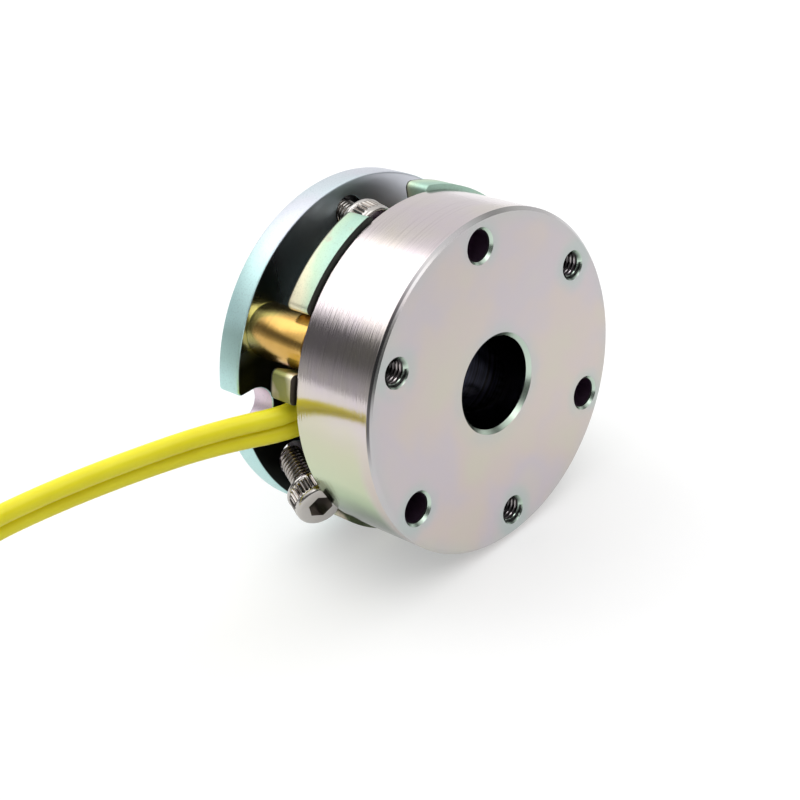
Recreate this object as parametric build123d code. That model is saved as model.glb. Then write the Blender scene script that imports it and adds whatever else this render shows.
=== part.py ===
from build123d import *
import math
import os

os.makedirs("parts", exist_ok=True)

# Spring-applied holding brake for a small stepper motor, in millimetres.
# The brake axis is Y. The mounting face is the plane Y = 0 and faces +Y. The stator's
# front face looks to -Y, +Z is up and the brake lies on the rims of plate and armature.
# Pieces are drawn on a bench frame (X right, Y up, Z away from the mounting face), and
# turned as a whole into the real frame when they are written.

# The stator's diameter leads: plate and armature stand out over it, and the one circle
# that carries the collars and, between them, the mounting screws lies inside it
stator_diameter = 38.0
rim_overhang = 1.0
hole_margin = 6.0
plate_diameter = stator_diameter + rim_overhang
armature_diameter = plate_diameter
hole_circle = stator_diameter - hole_margin
collar_angles = (30, 150, 270)
mounting_angle_top = 90
mounting_angle_left = 210
mounting_angle_right = 330
mounting_angles = (mounting_angle_top, mounting_angle_left, mounting_angle_right)
lead_angle = 180

# Mounting plate
plate_thickness = 3.2
plate_bore_diameter = 12.2
plate_edge_break = 0.3
notch_width = 4.6
notch_depth = 4.4
notch_mouth_break = 0.5

# Stack from the plate to the front face
collar_length = 8.4
collar_diameter = 6.0
collar_edge_break = 0.2
stator_length = 10.8
stator_edge_break = 0.4
stator_bore_share = 0.27237
stator_bore_diameter = stator_bore_share * stator_diameter
stator_bore_break = 0.55
armature_thickness = 3.0
armature_edge_break = 0.25
armature_bore_room = 0.425
armature_bore_diameter = stator_bore_diameter + 2 * armature_bore_room
air_gap = 0.2

# M3 hardware
thread_diameter = 3.0
thread_core_diameter = 2.5
close_clearance = 0.1
tapped_hole_break = 0.5
thread_tip_break = 0.3
clamp_thread_runout = 0.4
assembly_screw_length = 18.0
assembly_head_diameter = 5.6
assembly_head_sink = 0.1
assembly_hex = 2.0
mounting_screw_length = 6.0
mounting_head_diameter = 5.5
mounting_head_height = 3.0
mounting_head_break = 0.25
mounting_hex = 2.5
mounting_hex_depth = 1.6
mounting_hole_diameter = 3.8
mounting_hole_break = 0.1
access_hole_diameter = 3.4
access_hole_break = 0.4

# How the captive screws hang: tilt from the axis, direction of the lean seen from the
# front, how far the tip reaches past the point the screw hangs on, and that point's
# offset from the hole's axis and depth from the mounting face
top_screw_tilt = 10.5
top_screw_lean = 201.0
top_screw_reach = 3.0
top_screw_offset = (-0.21, -0.14)
top_screw_depth = 2.95
top_screw_turn = 10.0
left_screw_tilt = 26.0
left_screw_lean = 215.7
left_screw_reach = 0.57
left_screw_offset = (-0.17, 0.04)
left_screw_depth = 2.95
left_screw_turn = 41.0
right_screw_reach = 2.2

# Armature slots
collar_slot_clearance = 0.1
screw_slot_side_room = 1.25
screw_slot_width = mounting_head_diameter + 2 * screw_slot_side_room
lead_slot_side_room = 1.25
lead_slot_floor = 10.5
lead_relief_radius = 4.2
lead_relief_inset = 1.9
lead_relief_angle = 195
slot_lip_radius = 0.7

# Magnet coil inside the stator
groove_wall = 2.7
groove_outer_diameter = hole_circle - 2 * groove_wall
spring_wall_share = 0.15508
spring_wall = spring_wall_share * groove_outer_diameter
groove_inner_diameter = stator_bore_diameter + 2 * spring_wall
groove_depth = 8.0
bobbin_wall = 0.6
bobbin_fit = 0.05
potting_thickness = 0.85
potting_recess = 0.15
spring_count = 6
spring_circle = stator_bore_diameter + spring_wall
spring_pocket_diameter = 2.6
spring_pocket_depth = 5.0
spring_outer_diameter = 2.3
spring_wire = 0.35
spring_rest_gap = 0.05

# Friction disc on the splined hub
disc_rim_inset = 1.8
disc_diameter = groove_outer_diameter - 2 * disc_rim_inset
disc_side_gap = 0.05
lining_thickness = 1.1
lining_bore_share = 0.65217
lining_inner_diameter = lining_bore_share * disc_diameter
carrier_boss_room = 0.5
carrier_boss_recess = 0.4
spline_teeth = 12
spline_root_diameter = 8.4
spline_tip_diameter = 9.8
spline_tooth_width = 1.1
spline_fit = 0.08
hub_bore_diameter = 5.0
hub_start = 1.6
hub_length = 9.4
hub_edge_break = 0.3
set_screw_diameter = 2.5
set_screw_length = 2.0
set_screw_at = 8.0
set_screw_fit = 0.05
set_screw_angle = 75

# Two insulated leads, one over the other
lead_diameter = 2.1
lead_spacing = 2.2
lead_exit_margin = 0.25
lead_exit_radius = groove_outer_diameter / 2 - lead_diameter / 2 - lead_exit_margin
lead_rise = 1.95
lead_slot_width = lead_diameter + lead_spacing + 2 * lead_slot_side_room
coil_turns = 3
coil_middle_diameter = 23.1
coil_centre = (-88.0, -6.5)
coil_layer_gap = 0.05
rest_height = -plate_diameter / 2

# Levels above the mounting face
collar_top = plate_thickness + collar_length
stator_top = collar_top + stator_length
armature_low = collar_top - air_gap - armature_thickness
disc_low = plate_thickness + disc_side_gap
disc_high = armature_low - disc_side_gap
hole_radius_circle = hole_circle / 2


def polar(radius, degrees, height=0.0):
    turn = math.radians(degrees)
    return (radius * math.cos(turn), radius * math.sin(turn), height)


def ring(outer, inner, low, high):
    """A round washer between two levels, from its diameters."""
    tall = high - low
    body = Cylinder(outer / 2, tall, align=(Align.CENTER, Align.CENTER, Align.MIN))
    if inner > 0:
        body -= Cylinder(inner / 2, tall, align=(Align.CENTER, Align.CENTER, Align.MIN))
    return Pos(0, 0, low) * body


def drill(diameter, low, high):
    tall = high - low
    return Pos(0, 0, low) * Cylinder(diameter / 2, tall, align=(Align.CENTER, Align.CENTER, Align.MIN))


def funnel(low_diameter, high_diameter, low, high):
    tall = high - low
    shape = Cone(low_diameter / 2, high_diameter / 2, tall, align=(Align.CENTER, Align.CENTER, Align.MIN))
    return Pos(0, 0, low) * shape


def round_edges(shape, level, diameter):
    """The circular edges of one diameter that lie at one level."""
    found = []
    for edge in shape.edges().filter_by(GeomType.CIRCLE):
        at_level = abs(edge.center(CenterOf.BOUNDING_BOX).Z - level) < 0.01
        if at_level and abs(edge.radius - diameter / 2) < 0.01:
            found.append(edge)
    return found


def radial_slot(width, floor_radius, degrees, low, high):
    """A slot with a round floor, open at the rim, cut towards one angle."""
    tall = high - low
    centre = floor_radius + width / 2
    reach = plate_diameter
    eye = Pos(centre, 0, 0) * Cylinder(width / 2, tall, align=(Align.CENTER, Align.CENTER, Align.MIN))
    run = Pos(centre, 0, 0) * Box(reach, width, tall, align=(Align.MIN, Align.CENTER, Align.MIN))
    return Pos(0, 0, low) * Rot(0, 0, degrees) * (eye + run)


def write(name, pieces):
    """Turns the pieces from the bench frame into the real one and writes one node."""
    turned = [Rot(90, 0, 0) * piece for piece in pieces]
    shape = turned[0] if len(turned) == 1 else Compound(children=turned)
    export_step(shape, "parts/" + name + ".step")


# Mounting plate
plate = ring(plate_diameter, plate_bore_diameter, 0, plate_thickness)
plate = chamfer(round_edges(plate, plate_thickness, plate_diameter), plate_edge_break)
plate = chamfer(round_edges(plate, 0, plate_diameter), plate_edge_break)
plate = chamfer(round_edges(plate, plate_thickness, plate_bore_diameter), plate_edge_break)
assembly_hole = thread_diameter + 2 * close_clearance
for degrees in collar_angles:
    sink = (assembly_head_diameter - thread_diameter) / 2 + assembly_head_sink
    cut = drill(assembly_hole, -1, plate_thickness + 1)
    cut += funnel(assembly_hole + 2 * (sink + 1), assembly_hole, -1, sink)
    plate -= Pos(*polar(hole_radius_circle, degrees)) * cut
for degrees in mounting_angles:
    wide = mounting_hole_diameter + 2 * mounting_hole_break
    cut = drill(mounting_hole_diameter, -1, plate_thickness + 1)
    cut += funnel(mounting_hole_diameter, wide, plate_thickness - mounting_hole_break, plate_thickness)
    cut += funnel(wide, mounting_hole_diameter, 0, mounting_hole_break)
    plate -= Pos(*polar(hole_radius_circle, degrees)) * cut
notch_floor = plate_diameter / 2 - notch_depth
plate -= radial_slot(notch_width, notch_floor, lead_angle, -1, plate_thickness + 1)
mouth = []
for edge in plate.edges().filter_by(Axis.Z):
    middle = edge.center()
    on_rim = math.hypot(middle.X, middle.Y) > plate_diameter / 2 - 2 * notch_mouth_break
    if on_rim and abs(abs(middle.Y) - notch_width / 2) < 0.05 and middle.X < 0:
        mouth.append(edge)
plate = chamfer(mouth, notch_mouth_break)
write("mounting_plate", [plate])

# Spacer collars between plate and stator
collar_names = {30: "spacer_collar_right", 150: "spacer_collar_left", 270: "spacer_collar_bottom"}
for degrees in collar_angles:
    collar = ring(collar_diameter, assembly_hole, plate_thickness, collar_top)
    collar = chamfer(round_edges(collar, plate_thickness, collar_diameter), collar_edge_break)
    collar = chamfer(round_edges(collar, collar_top, collar_diameter), collar_edge_break)
    write(collar_names[degrees], [Pos(*polar(hole_radius_circle, degrees)) * collar])

# Countersunk screws that clamp plate, collars and stator together
assembly_screws = []
for degrees in collar_angles:
    cone_depth = (assembly_head_diameter - thread_diameter) / 2
    low = assembly_head_sink
    tip = low + assembly_screw_length
    screw = funnel(assembly_head_diameter, thread_diameter, low, low + cone_depth)
    screw += drill(thread_diameter, low + cone_depth, tip)
    screw = chamfer(round_edges(screw, tip, thread_diameter), thread_tip_break)
    hexagon = RegularPolygon(assembly_hex / 2, 6, major_radius=False)
    screw -= Pos(0, 0, low) * extrude(hexagon, assembly_hex / 2)
    assembly_screws.append(Pos(*polar(hole_radius_circle, degrees)) * screw)
write("assembly_screws", assembly_screws)

# Stator, the cup that holds the coil
stator = ring(stator_diameter, stator_bore_diameter, collar_top, stator_top)
stator = chamfer(round_edges(stator, stator_top, stator_diameter), stator_edge_break)
stator = chamfer(round_edges(stator, collar_top, stator_diameter), stator_edge_break / 2)
stator = chamfer(round_edges(stator, stator_top, stator_bore_diameter), stator_bore_break)
stator -= ring(groove_outer_diameter, groove_inner_diameter, collar_top - 1, collar_top + groove_depth)
screw_end = assembly_head_sink + assembly_screw_length
clamp_thread_end = screw_end + clamp_thread_runout
for degrees in collar_angles:
    mouth_diameter = thread_core_diameter + 2 * tapped_hole_break
    cut = drill(thread_core_diameter, collar_top - 1, stator_top + 1)
    cut += drill(thread_diameter + close_clearance, collar_top - 1, clamp_thread_end)
    cut += funnel(thread_core_diameter, mouth_diameter, stator_top - tapped_hole_break, stator_top)
    stator -= Pos(*polar(hole_radius_circle, degrees)) * cut
for degrees in mounting_angles:
    wide = access_hole_diameter + 2 * access_hole_break
    cut = drill(access_hole_diameter, collar_top - 1, stator_top + 1)
    cut += funnel(access_hole_diameter, wide, stator_top - access_hole_break, stator_top)
    cut += funnel(wide, access_hole_diameter, collar_top, collar_top + access_hole_break)
    stator -= Pos(*polar(hole_radius_circle, degrees)) * cut
for index in range(spring_count):
    cut = drill(spring_pocket_diameter, collar_top - 1, collar_top + spring_pocket_depth)
    stator -= Pos(*polar(spring_circle / 2, index * 360 / spring_count)) * cut
write("stator_housing", [stator])

# Bobbin, winding and the potting that closes the groove
bobbin_outer = groove_outer_diameter - 2 * bobbin_fit
bobbin_inner = groove_inner_diameter + 2 * bobbin_fit
potting_low = collar_top + potting_recess
bobbin_low = potting_low + potting_thickness
bobbin_high = collar_top + groove_depth
bobbin = ring(bobbin_outer, bobbin_inner, bobbin_low, bobbin_high)
window_inner = bobbin_inner + 2 * bobbin_wall
bobbin -= ring(bobbin_outer + 1, window_inner, bobbin_low + bobbin_wall, bobbin_high - bobbin_wall)
write("coil_bobbin", [bobbin])
winding_outer = bobbin_outer - 2 * bobbin_wall / 2
winding_inner = window_inner + 2 * bobbin_fit
winding = ring(winding_outer, winding_inner, bobbin_low + bobbin_wall, bobbin_high - bobbin_wall)
write("coil_winding", [winding])
write("potting_ring", [ring(bobbin_outer, bobbin_inner, potting_low, bobbin_low)])

# Torque springs in their pockets
springs = []
for index in range(spring_count):
    bore = spring_outer_diameter - 2 * spring_wire
    low = collar_top + spring_rest_gap
    spring = ring(spring_outer_diameter, bore, low, collar_top + spring_pocket_depth)
    springs.append(Pos(*polar(spring_circle / 2, index * 360 / spring_count)) * spring)
write("torque_springs", springs)

# Armature disc, guided by the collars and notched for screws and leads
armature_top = armature_low + armature_thickness
armature = ring(armature_diameter, armature_bore_diameter, armature_low, armature_top)
armature = chamfer(round_edges(armature, armature_top, armature_diameter), armature_edge_break)
armature = chamfer(round_edges(armature, armature_low, armature_diameter), armature_edge_break)
cut_low = armature_low - 1
cut_high = armature_top + 1
for degrees in collar_angles:
    width = collar_diameter + 2 * collar_slot_clearance
    armature -= radial_slot(width, hole_radius_circle - width / 2, degrees, cut_low, cut_high)
for degrees in mounting_angles:
    floor_radius = hole_radius_circle - screw_slot_width / 2
    armature -= radial_slot(screw_slot_width, floor_radius, degrees, cut_low, cut_high)
armature -= radial_slot(lead_slot_width, lead_slot_floor, lead_angle, cut_low, cut_high)
relief_at = armature_diameter / 2 - lead_relief_inset
relief = Pos(*polar(relief_at, lead_relief_angle)) * drill(2 * lead_relief_radius, cut_low, cut_high)
armature -= relief
lips = []
for edge in armature.edges().filter_by(Axis.Z):
    middle = edge.center()
    if math.hypot(middle.X, middle.Y) > armature_diameter / 2 - 0.3:
        lips.append(edge)
armature = fillet(lips, slot_lip_radius)
write("armature", [armature])


def splined(root_diameter, tip_diameter, tooth_width, low, high):
    """A round bar with straight teeth."""
    tall = high - low
    bar = drill(root_diameter, low, high)
    reach = (tip_diameter - root_diameter) / 2 + 0.5
    start = root_diameter / 2 - 0.5
    for index in range(spline_teeth):
        tooth = Box(reach, tooth_width, tall, align=(Align.MIN, Align.CENTER, Align.MIN))
        bar += Rot(0, 0, index * 360 / spline_teeth) * (Pos(start, 0, low) * tooth)
    return bar & drill(tip_diameter, low, high)


# Friction disc: a splined carrier with a lining on each side
carrier_low = disc_low + lining_thickness
carrier_high = disc_high - lining_thickness
socket = splined(
    spline_root_diameter + 2 * spline_fit,
    spline_tip_diameter + 2 * spline_fit,
    spline_tooth_width + 2 * spline_fit,
    disc_low - 1,
    disc_high + 1,
)
boss_diameter = lining_inner_diameter - 2 * carrier_boss_room
carrier = ring(disc_diameter, 0, carrier_low, carrier_high)
carrier += ring(boss_diameter, 0, disc_low + carrier_boss_recess, disc_high - carrier_boss_recess)
carrier -= socket
write("disc_carrier", [carrier])
write("lining_rear", [ring(disc_diameter, lining_inner_diameter, disc_low, carrier_low)])
write("lining_front", [ring(disc_diameter, lining_inner_diameter, carrier_high, disc_high)])

# Hub with its set screw
hub_end = hub_start + hub_length
hub = splined(spline_root_diameter, spline_tip_diameter, spline_tooth_width, hub_start, hub_end)
hub -= drill(hub_bore_diameter, hub_start - 1, hub_end + 1)
hub -= funnel(hub_bore_diameter, hub_bore_diameter + 2 * hub_edge_break, hub_end - hub_edge_break, hub_end)
hub -= funnel(hub_bore_diameter + 2 * hub_edge_break, hub_bore_diameter, hub_start, hub_start + hub_edge_break)
set_hole = Rot(0, 90, 0) * drill(set_screw_diameter + 2 * set_screw_fit, 0, spline_tip_diameter)
hub -= Rot(0, 0, set_screw_angle) * (Pos(0, 0, hub_start + set_screw_at) * set_hole)
write("hub", [hub])
set_screw_low = hub_bore_diameter / 2 + 0.1
set_screw = drill(set_screw_diameter, set_screw_low, set_screw_low + set_screw_length)
set_hexagon = Rot(0, 0, 0) * RegularPolygon(set_screw_diameter / 4, 6, major_radius=False)
set_screw -= Pos(0, 0, set_screw_low + set_screw_length / 2) * extrude(set_hexagon, set_screw_length)
set_screw = Rot(0, 90, 0) * set_screw
write("hub_set_screw", [Rot(0, 0, set_screw_angle) * (Pos(0, 0, hub_start + set_screw_at) * set_screw)])


def mounting_screw(degrees, tilt, lean, reach, offset, depth, turn):
    """A socket head screw in its plate hole, leaning towards one side of the brake."""
    end = mounting_screw_length + mounting_head_height
    screw = drill(thread_diameter, 0, mounting_screw_length)
    screw = chamfer(round_edges(screw, 0, thread_diameter), thread_tip_break)
    head = drill(mounting_head_diameter, mounting_screw_length, end)
    head = chamfer(round_edges(head, end, mounting_head_diameter), mounting_head_break)
    hexagon = RegularPolygon(mounting_hex / 2, 6, major_radius=False)
    screw += head
    screw -= Pos(0, 0, end - mounting_hex_depth) * extrude(hexagon, mounting_hex_depth)
    hang = Pos(*polar(hole_radius_circle, degrees)) * Pos(offset[0], offset[1], depth)
    swing = Rot(0, 0, lean) * Rot(0, tilt, 0) * Rot(0, 0, turn - lean)
    return hang * swing * (Pos(0, 0, -reach) * screw)


write(
    "mounting_screw_top",
    [
        mounting_screw(
            mounting_angle_top,
            top_screw_tilt,
            top_screw_lean,
            top_screw_reach,
            top_screw_offset,
            top_screw_depth,
            top_screw_turn,
        )
    ],
)
write(
    "mounting_screw_left",
    [
        mounting_screw(
            mounting_angle_left,
            left_screw_tilt,
            left_screw_lean,
            left_screw_reach,
            left_screw_offset,
            left_screw_depth,
            left_screw_turn,
        )
    ],
)
write(
    "mounting_screw_right",
    [mounting_screw(mounting_angle_right, 0, 0, right_screw_reach, (0, 0), plate_thickness, 0)],
)

# Leads. The route is in the real frame: X, Y, Z of the pair's middle, then the turn of
# the pair about its run, 0 where the upper lead lies straight above the lower one.
exit_level = -(collar_top + potting_recess)
coil_radius = coil_middle_diameter / 2
outer_turn = coil_radius + (coil_turns - 1) * lead_diameter / 2
landing = (coil_centre[0], coil_centre[1] + outer_turn)
pair_rest = rest_height + lead_diameter + coil_layer_gap / 2
route = [
    (-lead_exit_radius, exit_level, 0.0, 0),
    (-lead_exit_radius, exit_level + lead_rise, 0.0, 0),
    (-13.5, -8.7, 0.1, 0),
    (-17.6, -8.95, 0.2, 14),
    (-22.8, -5.65, 0.4, 18),
    (-28.6, -2.5, 0.3, 24),
    (-39.5, 1.3, 0.1, 25),
    (-49.5, 3.6, -0.4, 28),
    (-57.8, 5.0, -4.0, 18),
    (-65.0, 6.2, -11.0, 6),
    (-71.0, 6.9, -15.4, 0),
    (-77.0, landing[1], pair_rest, 0),
    (landing[0], landing[1], pair_rest, 0),
]


def unit(vector):
    long = math.sqrt(sum(part * part for part in vector))
    return [part / long for part in vector]


def cross(a, b):
    return [a[1] * b[2] - a[2] * b[1], a[2] * b[0] - a[0] * b[2], a[0] * b[1] - a[1] * b[0]]


def lead_points(side):
    """The route moved half the spacing to the upper (1) or lower (-1) side of the pair."""
    points = []
    last = len(route) - 1
    for index, (x, y, z, turn) in enumerate(route):
        before = route[max(index - 1, 0)][:3]
        after = route[min(index + 1, last)][:3]
        if index <= 1:
            up = [0, 0, 1]
            along = [-1, 0, 0]
        elif index >= last - 1:
            up = [0, 0, 1]
            along = [-1, 0, 0]
        else:
            run_in = unit([b - a for a, b in zip(before, (x, y, z))])
            run_out = unit([b - a for a, b in zip((x, y, z), after)])
            along = unit([a + b for a, b in zip(run_in, run_out)])
            sideways = unit(cross(along, [0, 0, 1]))
            up = cross(sideways, along)
        sideways = unit(cross(along, up))
        lean = math.radians(turn)
        gap = lead_spacing if index < last - 1 else lead_diameter + coil_layer_gap
        shift = [gap / 2 * (math.cos(lean) * u - math.sin(lean) * s) for u, s in zip(up, sideways)]
        points.append(tuple(side * move + at for move, at in zip(shift, (x, y, z))))
    return points


def tube(points, diameter, name):
    """Straight runs joined by tangent arcs, as long as the runs allow."""
    radii = []
    for before, at, after in zip(points, points[1:], points[2:]):
        run_in = [b - a for a, b in zip(before, at)]
        run_out = [b - a for a, b in zip(at, after)]
        shorter = min(math.hypot(*run_in), math.hypot(*run_out))
        cosine = sum(a * b for a, b in zip(unit(run_in), unit(run_out)))
        half_turn = math.acos(max(-1.0, min(1.0, cosine))) / 2
        radii.append(0.45 * shorter / math.tan(half_turn))
    line = FilletPolyline(*points, radius=radii)
    start = Plane(origin=line @ 0, z_dir=line % 0)
    body = sweep(start * Circle(diameter / 2), path=line)
    ideal = math.pi * diameter**2 / 4 * line.length
    print(name, "length", round(line.length, 2), "radii", [round(r, 1) for r in radii])
    print(name, "volume share", round(body.volume / ideal, 4))
    return body


for side, name in ((1, "upper"), (-1, "lower")):
    points = lead_points(side)
    lead = tube(points, lead_diameter, "lead_wire_" + name)
    export_step(lead, "parts/lead_wire_" + name + ".step")
    for point in points:
        print("  ", tuple(round(value, 2) for value in point))

# What is left of each lead lies coiled beside the brake, outer shape only
coil_inner = coil_radius - (coil_turns - 1) * lead_diameter / 2 - lead_diameter / 2
upper_floor = rest_height + lead_diameter + coil_layer_gap
for floor, name in ((rest_height, "lower"), (upper_floor, "upper")):
    outer = 2 * outer_turn + lead_diameter
    coil = ring(outer, 2 * coil_inner, floor, floor + lead_diameter)
    coil = Pos(coil_centre[0], coil_centre[1], 0) * coil
    export_step(coil, "parts/lead_coil_" + name + ".step")
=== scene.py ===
import math
import bmesh
import bpy
from mathutils import Matrix


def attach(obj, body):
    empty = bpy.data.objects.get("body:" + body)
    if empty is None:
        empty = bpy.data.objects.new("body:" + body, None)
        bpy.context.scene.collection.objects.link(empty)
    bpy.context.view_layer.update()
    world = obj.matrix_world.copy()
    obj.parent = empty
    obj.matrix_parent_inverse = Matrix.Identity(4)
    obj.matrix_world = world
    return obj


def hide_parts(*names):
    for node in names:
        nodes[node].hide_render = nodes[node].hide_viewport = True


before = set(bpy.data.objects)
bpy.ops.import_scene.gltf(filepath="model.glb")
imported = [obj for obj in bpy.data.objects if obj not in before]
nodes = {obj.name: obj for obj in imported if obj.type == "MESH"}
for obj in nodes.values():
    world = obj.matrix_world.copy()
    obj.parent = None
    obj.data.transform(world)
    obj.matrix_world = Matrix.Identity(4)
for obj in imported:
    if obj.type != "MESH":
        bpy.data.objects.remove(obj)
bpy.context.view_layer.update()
mm = 0.001
full = 2 * math.pi

# Camera: from the left, above and in front, as the photograph was taken
bpy.ops.object.camera_add(location=(-0.106802, -0.126872, 0.082295))
camera = bpy.context.object
camera.rotation_euler = (math.radians(62.025), math.radians(7.1443), math.radians(-47.2302))
camera.data.lens = 72.4217
camera.data.sensor_width = 36
camera.data.sensor_fit = "HORIZONTAL"
camera.data.shift_x = -0.05
camera.data.shift_y = -0.05
camera.data.clip_start = 0.005
bpy.context.scene.camera = camera

# The two leads: control points in millimetres, from the exit to where the coil begins
upper_route = [
    (-12.0, -11.75, 1.1),
    (-12.0, -9.8, 1.1),
    (-13.46, -8.71, 1.2),
    (-17.64, -9.22, 1.27),
    (-22.96, -5.8, 1.4),
    (-28.8, -2.53, 1.14),
    (-39.66, 1.8, 0.66),
    (-49.82, 4.8, -0.3),
    (-58.43, 5.4, -3.5),
    (-65.71, 6.18, -10.16),
    (-71.5, 6.94, -14.42),
    (-77.0, 7.15, -16.3),
    (-88.0, 7.15, -16.3),
]
lower_route = [
    (-12.0, -11.75, -1.1),
    (-12.0, -9.8, -1.1),
    (-13.54, -8.69, -1.0),
    (-17.56, -8.68, -0.87),
    (-22.64, -5.18, -0.71),
    (-28.4, -1.7, -0.9),
    (-39.34, 2.74, -1.4),
    (-49.18, 5.65, -2.3),
    (-57.17, 5.9, -5.3),
    (-64.29, 6.22, -11.84),
    (-70.5, 6.86, -16.38),
    (-77.0, 7.15, -18.45),
    (-88.0, 7.15, -18.45),
]
coil_centre = (-88.0, -6.5)
coil_radii = (13.65, 11.53, 9.42)
points_per_turn = 16
jog_steps = 4
upper_coil_level = -16.3
lower_coil_level = -18.45
lead_diameter = 2.1


def coil_points(height):
    """Three flat turns, each a lead's width inside the one before, with a short jog between."""
    points = []
    for turn, radius in enumerate(coil_radii):
        inner = coil_radii[min(turn + 1, len(coil_radii) - 1)]
        for step in range(points_per_turn):
            jog = max(0.0, (step - points_per_turn + jog_steps + 0.5) / jog_steps)
            at = (radius + (inner - radius) * jog) / math.cos(math.pi / points_per_turn)
            angle = math.pi / 2 + full * (step + 0.5) / points_per_turn
            x = coil_centre[0] + at * math.cos(angle)
            y = coil_centre[1] + at * math.sin(angle)
            points.append((x, y, height))
    return points


def lead(name, points):
    """A round insulated lead on one smooth spline, whose points hold its radius."""
    curve = bpy.data.curves.new(name, "CURVE")
    curve.dimensions = "3D"
    spline = curve.splines.new("NURBS")
    spline.points.add(len(points) - 1)
    for point, (x, y, z) in zip(spline.points, points):
        point.co = (x * mm, y * mm, z * mm, 1)
        point.radius = lead_diameter / 2 * mm
    spline.order_u = 3
    spline.use_endpoint_u = True
    spline.resolution_u = 10
    curve.bevel_depth = 1
    curve.bevel_resolution = 8
    curve.use_fill_caps = True
    piece = bpy.data.objects.new(name, curve)
    bpy.context.collection.objects.link(piece)
    return piece


upper_lead = lead("upper_lead", upper_route + coil_points(upper_coil_level)[:-1])
lower_lead = lead("lower_lead", lower_route + coil_points(lower_coil_level)[:-1])
for piece, which, exit_height in ((upper_lead, "upper", 1.1), (lower_lead, "lower", -1.1)):
    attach(piece, "brake_body")
    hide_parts("lead_wire_" + which, "lead_coil_" + which)


# Sizes of the brake in millimetres. A level is the distance from the mounting face.
plate_diameter = 39.0
plate_thickness = 3.2
plate_bore = 12.2
collar_diameter = 6.0
collar_hole = 3.2
collar_top = 11.6
front_level = 22.4
stator_diameter = 38.0
stator_bore = 10.35
groove_inner = 18.6
groove_outer = 26.6
groove_depth = 8.0
rear_break = 0.2
front_break = 0.4
bore_break = 0.45
key_hole_diameter = 3.4
armature_low = 8.4
armature_high = 11.39
armature_bore = 11.2
rim_radius = plate_diameter / 2
hole_radius = 16.0
collar_angles = (30, 150, 270)
mounting_angles = (90, 210, 330)
lead_angle = 180
pitch = 0.5
thread_outer = 3.0
thread_core = 2.5
thread_end = 18.6
shank_length = 6.0
knurl_low = 6.55
knurl_high = 8.35


def share(value, start, end):
    """How far a value has come from start to end, 0 before and 1 past it."""
    return min(1.0, max(0.0, (value - start) / (end - start)))


def nothing_selected():
    if bpy.context.object is not None and bpy.context.object.mode != "OBJECT":
        bpy.ops.object.mode_set(mode="OBJECT")
    bpy.ops.object.select_all(action="DESELECT")


def chosen(*pieces):
    nothing_selected()
    for piece in pieces:
        piece.select_set(True)
    bpy.context.view_layer.objects.active = pieces[0]


def fresh_primitive(name):
    """Names the primitive just added and puts its place into its mesh."""
    piece = bpy.context.object
    piece.name = name
    piece.data.name = name
    bpy.ops.object.transform_apply(location=True, rotation=True, scale=True)
    return piece


def closed_up():
    """Merges the seams of the mesh in edit mode and turns its faces outwards."""
    bpy.ops.mesh.select_all(action="SELECT")
    bpy.ops.mesh.remove_doubles(threshold=0.000001)
    bpy.ops.mesh.normals_make_consistent(inside=False)
    bpy.ops.object.mode_set(mode="OBJECT")


def turned(name, section, sides=128, closed=True):
    """Turned on the bench: rings at (diameter, level) corners, level along Z."""
    diameter, level = section[0]
    nothing_selected()
    bpy.ops.mesh.primitive_circle_add(
        vertices=sides, radius=diameter / 2 * mm, fill_type="NOTHING", location=(0, 0, level * mm)
    )
    piece = fresh_primitive(name)
    bpy.ops.object.mode_set(mode="EDIT")
    bpy.ops.mesh.select_all(action="SELECT")
    corners = section[1:] + (section[:1] if closed else [])
    for wide, high in corners:
        bpy.ops.mesh.extrude_region_move(TRANSFORM_OT_translate={"value": (0, 0, (high - level) * mm)})
        if wide != diameter:
            grow = wide / diameter
            bpy.ops.transform.resize(value=(grow, grow, 1), center_override=(0, 0, high * mm))
        diameter = wide
        level = high
    if not closed:
        bpy.ops.mesh.select_all(action="DESELECT")
        bpy.ops.mesh.select_non_manifold()
        bpy.ops.mesh.fill_holes(sides=0)
    closed_up()
    return piece


def profile_bar(name, outline, low, high):
    """A bar of any outline: a filled circle whose corners go to the outline, then extruded."""
    nothing_selected()
    bpy.ops.mesh.primitive_circle_add(
        vertices=len(outline), radius=mm, fill_type="NGON", location=(0, 0, low * mm)
    )
    piece = fresh_primitive(name)
    for vertex, (x, y) in zip(piece.data.vertices, outline):
        vertex.co = (x * mm, y * mm, low * mm)
    bpy.ops.object.mode_set(mode="EDIT")
    bpy.ops.mesh.select_all(action="SELECT")
    bpy.ops.mesh.extrude_region_move(TRANSFORM_OT_translate={"value": (0, 0, (high - low) * mm)})
    closed_up()
    return piece


def place(piece, matrix):
    """Moves the piece's mesh, so that its object stays at the origin."""
    chosen(piece)
    piece.matrix_world = matrix
    bpy.ops.object.transform_apply(location=True, rotation=True, scale=True)
    return piece


def twin(piece, name):
    """A copy with its own mesh."""
    chosen(piece)
    bpy.ops.object.duplicate(linked=False)
    copy = bpy.context.object
    copy.name = name
    copy.data.name = name
    return copy


def joined(name, pieces):
    chosen(*pieces)
    bpy.ops.object.join()
    piece = bpy.context.object
    piece.name = name
    piece.data.name = name
    return piece


def cut(piece, cutter):
    """Cuts the cutter out of the piece and throws the cutter away."""
    chosen(piece)
    step = piece.modifiers.new("cut", "BOOLEAN")
    step.operation = "DIFFERENCE"
    step.solver = "EXACT"
    step.object = cutter
    bpy.ops.object.modifier_apply(modifier=step.name)
    bpy.data.objects.remove(cutter, do_unlink=True)


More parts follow.
